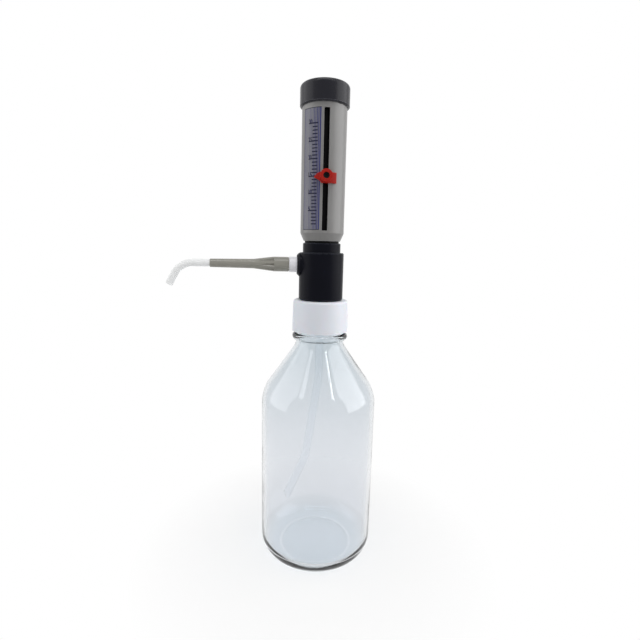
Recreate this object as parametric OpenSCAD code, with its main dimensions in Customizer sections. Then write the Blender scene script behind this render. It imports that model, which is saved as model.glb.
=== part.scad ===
// Bottle top dispenser: a piston pump with ball valves that screws onto a glass reagent bottle.
// Millimetres. The origin is the centre of the bottle's standing ring, +Z runs up the bottle's
// axis, the spout points to -X and the volume scale faces -Y.

/* [Bottle] */
// Outer diameter of the bottle's body
bottle_d = 98; // [90:1:106]
// Thickness of the glass
bottle_wall = 3; // [2.5:0.25:3.5]
// Height at which the straight wall turns into the shoulder
shoulder_z = 138; // [110:1:170]
// Radius of the curve from the wall into the shoulder
shoulder_r = 30; // [24:1:34]
// Slope of the shoulder, degrees from the horizontal
shoulder_slope = 55; // [48:1:60]
// Outer radius of the neck under the thread
neck_r = 20.2; // [19.6:0.1:20.6]
// Radius of the hollow curve from the shoulder into the neck
neck_fillet = 8; // [6:1:10]
// Radius of the curve between the base and the wall
heel_r = 16; // [12:1:18]
// Thickness of the glass at the base
base_t = 5; // [4:0.5:7]
// Rise of the domed push-up under the base
pushup_h = 4; // [3:0.5:6]
// Inner radius of the ring that the bottle stands on
stand_r = 30; // [26:1:30]
// Radius of the glass bead around the neck
bead_r = 23.4; // [22.5:0.1:24]
// Height of that bead
bead_h = 5.5; // [4:0.5:7]
// Height of the neck from the bead to the mouth
finish_h = 21; // [19:0.5:24]
// Radius over the neck's screw thread
thread_r = 21; // [20.8:0.1:21.2]

/* [Screw collar and adapter] */
// Outer radius of the collar at its top
collar_top_r = 22.8; // [22.6:0.1:23.6]
// Outer radius of the collar at its lower rim
collar_low_r = 23.5; // [23.4:0.05:24.6]
// Height of the collar
collar_h = 26; // [24:0.5:27]
// Thickness of the collar's top
collar_top_t = 2.6; // [2:0.2:3.4]
// Rounding of the collar's top edge
collar_round = 1.8; // [0.8:0.2:1.8]
// Thickness of the sealing ring on the mouth
seal_t = 1.6; // [1:0.1:2.4]
// Outer radius of the adapter's flange
flange_r = 18.6; // [18:0.1:19.4]
// Thickness of that flange
flange_t = 2.5; // [2:0.1:3.5]
// Outer radius of the adapter below its flange
hub_r = 13.5; // [12.5:0.1:14]
// Length of the adapter below its flange
hub_h = 9; // [8:0.5:10]

/* [Valve head] */
// Radius of the valve head
head_r = 18.4; // [18.2:0.05:19.6]
// Height of the valve head
head_h = 38.7; // [38:0.1:42]
// Chamfer on the head's edges
head_chamfer = 0.8; // [0.4:0.1:1.2]
// Radius of the stem that turns in the adapter
stem_r = 9; // [8.5:0.1:9.5]
// Height of the spout's axis above the head's lower face
spout_rise = 28.7; // [27.5:0.1:28.9]
// Radius of the boss that carries the spout
boss_r = 9.6; // [8.4:0.1:9.8]
// Distance from the axis to the boss's face
boss_face = 20.3; // [20:0.1:22]
// Radius of the liquid channels in the head
channel_r = 2.2; // [1.6:0.1:2.4]
// Radius of the ball in the inlet valve
inlet_ball_r = 3; // [2.8:0.1:3.2]
// Lift of the inlet ball off its seat
inlet_lift = 1.5; // [1:0.1:1.8]
// Radius of the ball in the outlet valve
outlet_ball_r = 2.2; // [2:0.1:2.4]

/* [Suction tube] */
// Outer radius of the suction tube
suction_r = 4; // [3.6:0.1:4.4]
// Wall of the suction tube
suction_wall = 1; // [0.8:0.1:1.2]
// Length of its upper straight leg
suction_leg_top = 45; // [40:1:50]
// Length of its middle leg
suction_leg_mid = 62; // [50:1:64]
// Length of its lower leg
suction_leg_low = 33; // [20:1:36]
// Bend between the upper and the middle leg, degrees
suction_bend_top = 8; // [8:2:10]
// Bend between the middle and the lower leg, degrees
suction_bend_low = 16; // [16:2:18]
// Radius of both bends
suction_curve = 60; // [40:5:80]
// Slant of the tube's mouth, degrees
suction_slant = 40; // [20:5:50]

/* [Barrel and guard] */
// Largest volume on the scale, millilitres
scale_volume = 30; // [25:1:32]
// Volume that the stop is set to, millilitres
set_volume = 15; // [10:1:20]
// Bore radius of the glass barrel
bore_r = 11.16; // [11:0.02:11.3]
// Wall of the glass barrel
barrel_wall = 1.2; // [1:0.05:1.3]
// Wall of the guard tube
guard_wall = 1.4; // [1.2:0.05:1.45]
// Outer radius of the clamp nut
nut_r = 15.5; // [15.4:0.05:16.4]
// Height of the clamp nut above the head
nut_h = 7.7; // [7:0.1:9]
// Depth of the clamp nut's thread in the head
nut_depth = 3.3; // [2.8:0.1:3.4]

/* [Plunger] */
// Outer radius of the lifting sleeve
sleeve_r = 17.75; // [17.6:0.05:18.4]
// Wall of the lifting sleeve
sleeve_wall = 2; // [1.8:0.05:2.1]
// Gap under the sleeve
sleeve_gap = 1.6; // [1:0.1:3]
// Height of the sleeve's guiding lip
lip_h = 8; // [7:0.5:10]
// Height of the chamfer at the sleeve's foot
foot_chamfer_h = 6.2; // [5:0.1:6.8]
// Width of the slot for the stop
slot_w = 4.3; // [3.8:0.1:4.6]
// Length of the slot past the top mark
slot_over = 11; // [9:0.5:14]
// Outer radius of the cap
cap_r = 19.5; // [19.3:0.05:20.4]
// Height of the cap
cap_h = 16.6; // [14:0.1:20]
// Rounding of the cap's top edge
cap_round = 3; // [1:0.5:4]
// Height of the piston
piston_h = 13.4; // [12:0.2:16]
// Radius of the piston rod
rod_r = 4; // [3.6:0.1:4.4]
// Half width of the scale label, degrees round the sleeve
label_half = 25; // [20:0.5:28]
// Middle of the scale label, degrees round the sleeve from the slot
label_mid = 39; // [36:0.5:46]
// Thickness of the scale label
label_t = 0.3; // [0.2:0.05:0.4]

/* [Volume stop] */
// Height of the ring that stops the sleeve
stop_ring_h = 4.8; // [4.4:0.1:6]
// Thickness of the pointer's plate
plate_t = 2.1; // [1.6:0.1:2.6]
// Radius of the pointer's boss
knob_r = 4.75; // [4.5:0.05:5.2]
// Reach of that boss past the plate
knob_reach = 2.8; // [2:0.1:4]

/* [Spout] */
// Radius of the white connector
connector_r = 6.3; // [6.1:0.05:6.8]
// Visible length of the connector
connector_l = 6.4; // [5:0.1:8]
// Radius of the holder's collar
holder_r = 6; // [5.8:0.05:6.2]
// Length of the holder's collar
holder_collar_l = 12.2; // [10:0.1:14]
// Length of the fluted cone
flute_l = 17; // [12:0.5:20]
// Number of flutes
flute_count = 8; // [6:1:10]
// Depth of the flutes at the collar
flute_depth = 1.4; // [1:0.1:1.6]
// Radius of the slim arm where it starts
arm_r = 3.85; // [3.75:0.05:4.1]
// Radius of the slim arm at its end
arm_end_r = 3.4; // [3.35:0.05:3.6]
// Length of the slim arm
arm_l = 34.5; // [25:0.5:45]
// Outer radius of the outlet tube
tip_r = 2.95; // [2.7:0.05:3]
// Bore radius of the outlet tube
tip_bore_r = 1.9; // [1.5:0.05:2.1]
// Length of the tube from the arm to its bend
tip_out = 13.5; // [8:0.5:16]
// Radius of the tube's bend
tip_bend_r = 17; // [12:1:22]
// Angle of the tube's bend, degrees
tip_bend = 62; // [45:1:90]
// Length of the tube after the bend
tip_down = 9.5; // [8:0.5:20]

/* [Hidden] */
$fn = 96;

// Clearances.
face_gap = 0.05;
run_gap = 0.05;
fit_gap = 0.02;
loose = 0.2;
cut = 1;
// How far a bend reaches into its legs, and how much thinner its wall is on each face
bend_lap = 0.5;
bend_step = 0.02;

// Bottle.
bottle_r = bottle_d / 2;
shoulder_x = bottle_r - shoulder_r;
slope_out = sin(shoulder_slope);
slope_up = cos(shoulder_slope);
neck_curve_x = neck_r + neck_fillet;
neck_z = shoulder_z
    + (shoulder_r + neck_fillet - (neck_curve_x - shoulder_x) * slope_out) / slope_up;
pushup_r = (stand_r * stand_r + pushup_h * pushup_h) / (2 * pushup_h);
bead_rise = 1.7;
bead_z = neck_z + bead_rise;
mouth_z = bead_z + bead_h + finish_h;
mouth_lip = 1.2;
thread_lead = 2;
thread_h = 15.5;

// Screw collar, adapter and seal, stacked on the mouth.
seal_z = mouth_z + face_gap;
flange_z = seal_z + seal_t;
collar_ceiling = flange_z + flange_t + loose;
collar_z = collar_ceiling + collar_top_t;
collar_gap = 0.4;
collar_bore_r = thread_r + collar_gap;
boss_gap = 0.2;
collar_hole_r = 14.5;
head_z = collar_z + 0.3;
stem_bore_r = stem_r + run_gap;
hub_top = head_z - 0.1;
hub_low = flange_z - hub_h;

// Valve head and inlet valve.
head_top = head_z + head_h;
spout_z = head_z + spout_rise;
stem_z = hub_low - 0.2;
nipple_flange_r = 11.5;
nipple_flange_h = 3;
nipple_z = stem_z - nipple_flange_h;
nipple_plug_r = 5.5;
nipple_plug_h = 4.2;
nipple_r = suction_r - suction_wall - run_gap;
nipple_bore_r = nipple_r - 1;
nipple_l = 14;
cage_r = 4.6;
cage_wall = 0.9;
inlet_seat_z = stem_z + nipple_plug_h;
seat_h = 2.4;
inlet_seat_r = 0.667 * inlet_ball_r;
inlet_ball_z = inlet_seat_z + seat_h
    + sqrt(inlet_ball_r * inlet_ball_r - inlet_seat_r * inlet_seat_r) + fit_gap;
cage_web_z = inlet_ball_z + inlet_ball_r + inlet_lift + fit_gap;
cage_web_t = 1;
cage_ports = 4;
cage_port_r = 0.9;
stem_groove = 1.5;
stem_seal_r = 0.75;
stem_seal_z = flange_z + flange_t / 2;

// Barrel, clamp nut and guard.
socket_z = head_top - nut_depth - 0.8;
nut_thread_r = 14.2;
gasket_t = 0.8;
barrel_z = socket_z + gasket_t;
barrel_r = bore_r + barrel_wall;
guard_bore_r = barrel_r + 0.24;
guard_r = guard_bore_r + guard_wall;
nut_z = barrel_z + 0.1;
nut_top = head_top + nut_h;
guard_seat = 5.2;
guard_z = nut_top - guard_seat;

// Scale: the stroke follows from the bore.
mm_per_ml = 1000 / (PI * bore_r * bore_r);
stroke = scale_volume * mm_per_ml;

// Sleeve and plunger.
sleeve_z = nut_top + sleeve_gap;
sleeve_bore_r = sleeve_r - sleeve_wall;
slot_z = sleeve_z + lip_h;
zero_z = slot_z + stop_ring_h / 2;
slot_top = zero_z + stroke + slot_over;
guard_cap_t = 2;
guard_cap_depth = 6.4;
guard_top = slot_top - guard_cap_t;
barrel_top = guard_top - guard_cap_depth - 0.6;
crosshead_z = slot_top + 0.1;
crosshead_h = 6.8;
sleeve_top = crosshead_z + crosshead_h + 0.1;
foot_r = guard_r + run_gap + 0.95;
cap_lap = 3;
cap_z = sleeve_top - cap_lap;
cap_floor = sleeve_top + face_gap;
cap_top = cap_z + cap_h;
cap_edge = 0.9;
cap_hollow_r = 12;
cap_crown = 4.5;
cap_hollow_top = cap_top - cap_crown;
piston_z = barrel_z + 0.4;
piston_r = bore_r - 0.5;
piston_seal_h = 2;
piston_seal_r = bore_r - run_gap;
piston_groove = 1.6;
piston_seals_z = [piston_z + 2, piston_z + piston_h - 2 - piston_seal_h];
rod_seat = 3.4;
rod_end = 4.7;
rod_top = crosshead_z + crosshead_h + rod_end;
rod_nut_h = 4.2;
rod_nut_flats = 13;
label_end = 0.3;

// Volume stop.
pointer_z = zero_z + set_volume * mm_per_ml;
stop_ring_r = sleeve_bore_r - loose;
stop_bore_r = guard_r + run_gap;
neck_w = slot_w - 0.4;
neck_h = stop_ring_h - 0.6;
plate_r = sleeve_r + 0.25;
plate_top_r = plate_r + plate_t;
knob_face = plate_top_r + knob_reach;
plate_outline = [[-9.1, -0.9], [-6.9, 1.6], [-4.7, 2.6], [8.2, 2.6], [8.2, -5.3], [-3.5, -5.3],
    [-4.7, -3.5]];
screw_r = 1.25;
screw_head_r = 2.4;
screw_head_y = plate_r + 0.6;
screw_sink = 1.9;
screw_socket = 2.5;

// Spout, measured outwards from the axis.
seat_start = 7;
outlet_seat_h = 2.7;
plug_start = seat_start + outlet_seat_h;
plug_r = 4.5;
outlet_seat_r = 0.727 * outlet_ball_r;
outlet_ball_x = plug_start
    + sqrt(outlet_ball_r * outlet_ball_r - outlet_seat_r * outlet_seat_r) + fit_gap;
valve_bore_r = 2.9;
spring_stop = boss_face - 1.3;
outlet_bore_r = 1.8;
connector_end = boss_face + connector_l;
spigot_r = 3.9;
spigot_l = 7.3;
spigot_end = connector_end + spigot_l;
spigot_groove = 3.8;
spigot_seal_x = connector_end + spigot_groove;
spigot_seal_r = 0.55;
holder_start = connector_end + 0.1;
collar_end = connector_end + holder_collar_l;
flute_end = collar_end + flute_l;
arm_end = flute_end + arm_l;
tube_start = spigot_end + 0.3;
spring_wire_r = 0.25;
spring_r = 1.9;
spring_turns = 5;
spring_sides = 6;
spring_steps = 14;
spring_low = outlet_ball_x + sqrt(outlet_ball_r * outlet_ball_r - spring_r * spring_r)
    + spring_wire_r + 0.06;
spring_high = spring_stop - spring_wire_r - fit_gap;

// A round solid from z0 to z1.
module post(r, z0, z1) {
    translate([0, 0, z0]) cylinder(r = r, h = z1 - z0);
}

// A tube from z0 to z1.
module tube(r_out, r_in, z0, z1) {
    difference() {
        post(r_out, z0, z1);
        post(r_in, z0 - cut, z1 + cut);
    }
}

// A post with a chamfer on each end that has one.
module chamfered_post(r, z0, z1, low, high) {
    rotate_extrude() polygon(concat(
        [[0, z0]],
        low > 0 ? [[r - low, z0], [r, z0 + low]] : [[r, z0]],
        high > 0 ? [[r, z1 - high], [r - high, z1]] : [[r, z1]],
        [[0, z1]]
    ));
}

// A round-section ring about Z.
module o_ring(r, wire_r, z) {
    translate([0, 0, z]) rotate_extrude() translate([r, 0]) circle(r = wire_r);
}

// Turns +Z to point out along the spout, with +X up.
module along_spout() {
    translate([0, 0, spout_z]) rotate([0, -90, 0]) children();
}

// Turns +Z to point out of the front, towards -Y, at the pointer's height.
module along_pointer() {
    translate([0, 0, pointer_z]) rotate([90, 0, 0]) children();
}

// Carries its children round a bend of a tube that runs along +Z and turns towards -X.
module after_bend(radius, angle) {
    translate([-radius, 0, 0]) rotate([0, -angle, 0]) translate([radius, 0, 0]) children();
}

// The bend and the straight leg after it, both hollow. The bend reaches a little way into the wall
// of the leg on each side of it and is a hair thinner there, so no two of their faces coincide.
module bent_leg(r, bore_r, radius, angle, leg) {
    lap = bend_lap / radius * 180 / PI;
    translate([-radius, 0, 0]) rotate([90, 0, 0]) rotate(-lap)
        rotate_extrude(angle = angle + 2 * lap) translate([radius, 0]) difference() {
            circle(r = r - bend_step);
            circle(r = bore_r + bend_step);
        }
    after_bend(radius, angle) tube(r, bore_r, 0, leg);
}

// Half outline of the bottle, drawn inwards by inset, from its floor to top_z.
module bottle_half(inset, floor_z, top_z) {
    r = bottle_r - inset;
    heel = heel_r - inset;
    curve = shoulder_r - inset;
    hollow = neck_fillet + inset;
    lean = [slope_out, slope_up];
    shoulder_end = [shoulder_x, shoulder_z] + curve * lean;
    neck_start = [neck_curve_x, neck_z] - hollow * lean;
    intersection() {
        square([r, top_z]);
        union() {
            translate([0, floor_z + heel]) square([r, shoulder_z - floor_z - heel]);
            translate([0, floor_z]) square([r - heel, heel]);
            translate([r - heel, floor_z + heel]) circle(r = heel);
            translate([shoulder_x, shoulder_z]) circle(r = curve);
            polygon([[0, shoulder_z], shoulder_end, neck_start, [0, neck_start.y]]);
            difference() {
                polygon([[0, neck_start.y], neck_start, [neck_curve_x, neck_z], [0, neck_z]]);
                translate([neck_curve_x, neck_z]) circle(r = hollow);
            }
            translate([0, neck_z]) square([neck_r - inset, top_z - neck_z]);
        }
    }
}

module push_up(rise) {
    translate([0, rise - pushup_r]) circle(r = pushup_r);
}

module bottle() {
    bead_mid = bead_z + bead_h / 2;
    land_top = mouth_z - thread_lead;
    color([0.80, 0.90, 0.90, 0.35]) rotate_extrude() {
        difference() {
            union() {
                bottle_half(0, 0, mouth_z);
                translate([neck_r - cut, bead_z]) square([bead_r - bead_h / 2 - neck_r + cut, bead_h]);
                translate([bead_r - bead_h / 2, bead_mid]) circle(r = bead_h / 2);
                translate([neck_r - cut, land_top - thread_h])
                    polygon([[0, 0], [cut, 0], [cut + thread_r - neck_r, 1],
                        [cut + thread_r - neck_r, thread_h - 1], [cut, thread_h], [0, thread_h]]);
            }
            difference() {
                bottle_half(bottle_wall, base_t, mouth_z + cut);
                intersection() {
                    square([stand_r, base_t + pushup_h]);
                    push_up(base_t + pushup_h);
                }
            }
            intersection() {
                square([stand_r, pushup_h]);
                push_up(pushup_h);
            }
            translate([neck_r, mouth_z]) rotate(45) square(mouth_lip, center = true);
        }
    }
}

module screw_collar() {
    skirt_z = collar_z - collar_h;
    color("whitesmoke") rotate_extrude() {
        difference() {
            union() {
                polygon([[0, skirt_z], [collar_low_r, skirt_z],
                    [collar_top_r, collar_z - collar_round], [0, collar_z - collar_round]]);
                translate([0, collar_z - collar_round])
                    square([collar_top_r - collar_round, collar_round]);
                translate([collar_top_r - collar_round, collar_z - collar_round])
                    circle(r = collar_round);
            }
            square([collar_bore_r, collar_ceiling]);
            square([collar_hole_r, collar_z + cut]);
        }
    }
}

module adapter_bush() {
    color("gainsboro") difference() {
        union() {
            post(collar_hole_r - boss_gap, flange_z, hub_top);
            post(flange_r, flange_z, flange_z + flange_t);
            post(hub_r, hub_low, flange_z);
        }
        post(stem_bore_r, hub_low - cut, hub_top + cut);
    }
}

module seal_ring() {
    color("ivory") tube(flange_r + 0.6, hub_r + run_gap, seal_z, flange_z);
}

module valve_head() {
    boss_chamfer = 1.7;
    color([0.10, 0.11, 0.14]) difference() {
        union() {
            chamfered_post(head_r, head_z, head_top, head_chamfer, head_chamfer);
            post(stem_r, stem_z, head_z);
            along_spout() chamfered_post(boss_r, 0, boss_face, 0, boss_chamfer);
        }
        // Socket of the clamp nut and the barrel.
        post(nut_thread_r + run_gap, socket_z, head_top + cut);
        // Channel from the inlet valve to the barrel.
        post(channel_r, cage_web_z, head_top);
        // Seats of the inlet valve and of the suction nipple.
        post(cage_r, stem_z - cut, cage_web_z + cage_web_t);
        post(nipple_plug_r + fit_gap, stem_z - cut, inlet_seat_z);
        // Groove of the stem's seal.
        tube(stem_r + cut, stem_r - stem_groove, stem_seal_z - 1, stem_seal_z + 1);
        // Outlet channel and the connector's socket.
        along_spout() {
            cylinder(r = channel_r, h = boss_face);
            post(plug_r + fit_gap, seat_start, boss_face + cut);
        }
    }
}

module stem_seal() {
    color("black") o_ring(stem_r + run_gap - fit_gap - stem_seal_r, stem_seal_r, stem_seal_z);
}

module suction_nipple() {
    color("white") difference() {
        union() {
            post(nipple_plug_r, stem_z, inlet_seat_z);
            post(nipple_flange_r, nipple_z, stem_z);
            post(nipple_r, nipple_z - nipple_l, nipple_z);
        }
        post(nipple_bore_r, nipple_z - nipple_l - cut, inlet_seat_z + cut);
    }
}

// The tube pushed on the nipple, bent to reach the bottle's edge, with a slanted mouth.
module suction_tube() {
    bore = suction_r - suction_wall;
    length = suction_leg_low;
    color([0.93, 0.95, 0.93, 0.6])
        translate([0, 0, nipple_z - suction_leg_top]) rotate([180, 0, 0])
        after_bend(suction_curve, suction_bend_top) {
            tube(suction_r, bore, 0, suction_leg_mid);
            mirror([0, 0, 1])
                bent_leg(suction_r, bore, suction_curve, suction_bend_top, suction_leg_top);
            translate([0, 0, suction_leg_mid]) difference() {
                bent_leg(suction_r, bore, suction_curve, suction_bend_low, length);
                after_bend(suction_curve, suction_bend_low)
                    translate([0, 0, length]) rotate([0, -suction_slant, 0])
                        translate([0, 0, 2 * suction_r]) cube(4 * suction_r, center = true);
            }
        }
}

module inlet_seat() {
    color("white") difference() {
        post(cage_r - fit_gap, inlet_seat_z, inlet_seat_z + seat_h);
        post(inlet_seat_r, inlet_seat_z - cut, inlet_seat_z + seat_h + cut);
    }
}

module inlet_ball() {
    color("lightgrey") translate([0, 0, inlet_ball_z]) sphere(r = inlet_ball_r);
}

module inlet_cage() {
    cage_z = inlet_seat_z + seat_h;
    color("white") difference() {
        post(cage_r - fit_gap, cage_z, cage_web_z + cage_web_t);
        post(cage_r - cage_wall, cage_z - cut, cage_web_z);
        for (i = [0 : cage_ports - 1]) rotate(i * 360 / cage_ports)
            translate([cage_r / 2, 0, 0]) post(cage_port_r, cage_z, cage_web_z + 2 * cut);
    }
}

module barrel_gasket() {
    color("ivory") tube(barrel_r, bore_r, socket_z, barrel_z);
}

module glass_barrel() {
    color([0.85, 0.92, 0.95, 0.4]) tube(barrel_r, bore_r, barrel_z, barrel_top);
}

module clamp_nut() {
    edge = 0.6;
    color([0.10, 0.11, 0.14]) difference() {
        union() {
            post(nut_thread_r, nut_z, nut_top - edge);
            chamfered_post(nut_r, head_top, nut_top, 0, edge);
        }
        post(barrel_r + run_gap, nut_z - cut, nut_top + cut);
        post(guard_r + run_gap, guard_z, nut_top + cut);
    }
}

module guard_tube() {
    color([0.06, 0.06, 0.07]) tube(guard_r, guard_bore_r, guard_z, guard_top);
}

module guard_cap() {
    color([0.06, 0.06, 0.07]) difference() {
        union() {
            post(guard_bore_r - run_gap, guard_top - guard_cap_depth, guard_top);
            post(guard_r, guard_top, slot_top);
        }
        post(rod_r + run_gap, guard_top - guard_cap_depth - cut, slot_top + cut);
    }
}

module outlet_connector() {
    edge = 0.5;
    color("white") along_spout() difference() {
        union() {
            post(plug_r, plug_start, boss_face);
            chamfered_post(connector_r, boss_face, connector_end, 0, edge);
            post(spigot_r, connector_end, spigot_end);
        }
        post(valve_bore_r, plug_start - cut, spring_stop);
        post(outlet_bore_r, spring_stop - cut, spigot_end + cut);
        tube(spigot_r + cut, spigot_r - 2 * spigot_seal_r + fit_gap,
            spigot_seal_x - spigot_seal_r - 0.1, spigot_seal_x + spigot_seal_r + 0.1);
    }
}

module outlet_seat() {
    color("white") along_spout() tube(plug_r, outlet_seat_r, seat_start, plug_start);
}

module outlet_ball() {
    color("lightgrey") along_spout() translate([0, 0, outlet_ball_x]) sphere(r = outlet_ball_r);
}

// A coil spring swept round its axis as one closed tube with flat ends.
module outlet_spring() {
    rings = spring_turns * spring_steps;
    rise = (spring_high - spring_low) / rings;
    function coil_point(i, j) =
        let (a = i * 360 / spring_steps, b = j * 360 / spring_sides,
            r = spring_r + spring_wire_r * cos(b))
        [r * cos(a), r * sin(a), spring_low + i * rise + spring_wire_r * sin(b)];
    points = [for (i = [0 : rings], j = [0 : spring_sides - 1]) coil_point(i, j)];
    sides = [for (i = [0 : rings - 1], j = [0 : spring_sides - 1])
        let (k = (j + 1) % spring_sides, a = i * spring_sides, b = a + spring_sides)
        [a + j, a + k, b + k, b + j]];
    first_end = [for (j = [spring_sides - 1 : -1 : 0]) j];
    last_end = [for (j = [0 : spring_sides - 1]) rings * spring_sides + j];
    color("silver") along_spout()
        polyhedron(points, concat(sides, [first_end], [last_end]), convexity = 10);
}

module spigot_seal() {
    color("black") along_spout()
        o_ring(spigot_r + run_gap - fit_gap - spigot_seal_r, spigot_seal_r, spigot_seal_x);
}

// The swivelling arm: a collar over the spigot, a fluted cone and a slim tapered arm.
module spout_holder() {
    edge = 0.5;
    floor_r = holder_r - flute_depth;
    flute_tilt = atan((floor_r - arm_r - 0.15) / flute_l);
    color([0.56, 0.55, 0.51]) along_spout() difference() {
        rotate_extrude() polygon([
            [0, holder_start], [holder_r - edge, holder_start], [holder_r, holder_start + edge],
            [holder_r, collar_end], [arm_r, flute_end], [arm_end_r, arm_end], [0, arm_end]
        ]);
        post(spigot_r + run_gap, holder_start - cut, tube_start);
        post(tip_r + fit_gap, holder_start, arm_end + cut);
        for (i = [0 : flute_count - 1]) rotate((i + 0.9) * 360 / flute_count)
            translate([floor_r, 0, collar_end]) rotate([0, -flute_tilt, 0])
                linear_extrude(flute_l) polygon([[0, 0], [2.4, -2.7], [2.4, 2.7]]);
    }
}

module outlet_tube() {
    bend_start = arm_end + tip_out;
    color([0.93, 0.95, 0.95, 0.7]) along_spout() {
        tube(tip_r, tip_bore_r, tube_start, bend_start);
        translate([0, 0, bend_start]) bent_leg(tip_r, tip_bore_r, tip_bend_r, tip_bend, tip_down);
    }
}

module sleeve() {
    color([0.66, 0.66, 0.65]) difference() {
        rotate_extrude() polygon([
            [stop_bore_r, sleeve_z], [foot_r, sleeve_z], [sleeve_r, sleeve_z + foot_chamfer_h],
            [sleeve_r, sleeve_top], [sleeve_bore_r, sleeve_top], [sleeve_bore_r, slot_z],
            [stop_bore_r, slot_z]
        ]);
        translate([-slot_w / 2, -sleeve_r - cut, slot_z])
            cube([slot_w, sleeve_r, slot_top - slot_z]);
        label_shell();
    }
}

// The curved body of the label, which lies flush in the sleeve.
module label_shell() {
    translate([0, 0, slot_z + label_end]) rotate(-90 - label_mid - label_half)
        rotate_extrude(angle = 2 * label_half)
            translate([sleeve_r - label_t, 0]) square([label_t, slot_top - slot_z]);
}

module scale_label() {
    color([0.42, 0.43, 0.58]) label_shell();
}

module top_cap() {
    color([0.19, 0.19, 0.24]) rotate_extrude() {
        difference() {
            union() {
                polygon([[0, cap_z], [cap_r - cap_edge, cap_z], [cap_r, cap_z + cap_edge],
                    [cap_r, cap_top - cap_round], [0, cap_top - cap_round]]);
                translate([0, cap_top - cap_round]) square([cap_r - cap_round, cap_round]);
                translate([cap_r - cap_round, cap_top - cap_round]) circle(r = cap_round);
            }
            square([sleeve_r + fit_gap, cap_floor]);
            square([cap_hollow_r, cap_hollow_top]);
        }
    }
}

module crosshead() {
    color("dimgrey") tube(sleeve_bore_r - fit_gap, rod_r + fit_gap, crosshead_z,
        crosshead_z + crosshead_h);
}

module rod_nut() {
    nut_z = crosshead_z + crosshead_h;
    color("silver") difference() {
        translate([0, 0, nut_z]) cylinder(r = rod_nut_flats / sqrt(3), h = rod_nut_h, $fn = 6);
        post(rod_r + fit_gap, nut_z - cut, nut_z + rod_nut_h + cut);
    }
}

module piston_rod() {
    color("white") post(rod_r, piston_z + rod_seat, rod_top);
}

module piston() {
    color("white") difference() {
        post(piston_r, piston_z, piston_z + piston_h);
        post(rod_r + fit_gap, piston_z + rod_seat, piston_z + piston_h + cut);
        for (z = piston_seals_z)
            tube(piston_r + cut, piston_r - piston_groove, z, z + piston_seal_h);
    }
}

module piston_seals() {
    color("black") for (z = piston_seals_z)
        tube(piston_seal_r, piston_r - piston_groove, z, z + piston_seal_h);
}

// The ring that rides on the guard tube inside the sleeve and meets its lip.
module stop_ring() {
    half = stop_ring_h / 2;
    color([0.06, 0.06, 0.07]) difference() {
        tube(stop_ring_r, stop_bore_r, pointer_z - half, pointer_z + half);
        along_pointer() cylinder(r = screw_r + run_gap, h = sleeve_r);
    }
}

// The red pointer: a curved plate, a round boss for the screw and a neck through the slot.
module volume_pointer() {
    low = -10;
    color([0.84, 0.18, 0.08]) difference() {
        union() {
            intersection() {
                translate([0, 0, pointer_z]) tube(plate_top_r, plate_r, low, -low);
                along_pointer() linear_extrude(plate_top_r + cut) polygon(plate_outline);
            }
            along_pointer() post(knob_r, plate_r, knob_face);
            translate([-neck_w / 2, -plate_r - cut, pointer_z - neck_h / 2])
                cube([neck_w, plate_r + cut - stop_bore_r, neck_h]);
        }
        translate([0, 0, pointer_z]) post(stop_ring_r, low, -low);
        along_pointer() {
            post(screw_r + run_gap, 0, knob_face);
            post(screw_head_r + run_gap, screw_head_y, knob_face + cut);
        }
    }
}

module lock_screw() {
    head_face = knob_face - screw_sink;
    color("black") along_pointer() difference() {
        union() {
            post(screw_r, stop_bore_r, screw_head_y);
            post(screw_head_r, screw_head_y, head_face);
        }
        translate([0, 0, head_face - 1.6])
            cylinder(r = screw_socket / sqrt(3), h = 1.6 + cut, $fn = 6);
    }
}

bottle();
screw_collar();
adapter_bush();
seal_ring();
valve_head();
stem_seal();
suction_nipple();
suction_tube();
inlet_seat();
inlet_ball();
inlet_cage();
barrel_gasket();
glass_barrel();
clamp_nut();
guard_tube();
guard_cap();
outlet_connector();
outlet_seat();
outlet_ball();
outlet_spring();
spigot_seal();
spout_holder();
outlet_tube();
sleeve();
scale_label();
top_cap();
crosshead();
rod_nut();
piston_rod();
piston();
piston_seals();
stop_ring();
volume_pointer();
lock_screw();
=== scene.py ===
# %% [markdown]
# # A bottle top dispenser
#
# The real thing is a small hand pump screwed onto a glass reagent bottle. The user lifts the grey
# sleeve, presses it down, and a set volume runs out of the curved spout. The red pointer in the
# sleeve's slot sets that volume.
#
# The solid model comes in ready made, in metres, with every part in its place and riding on the
# body that moves it. What is left for this script is the looks: the glass, the plastics, the print
# on the label and the light. Where a solid's own shape is right it only gets a better material.
# Where it is simpler than the real part, a new mesh is made here and stands in for it.

# %% Load the solid model
import math

import bmesh
import bpy
from mathutils import Matrix, Vector


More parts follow.
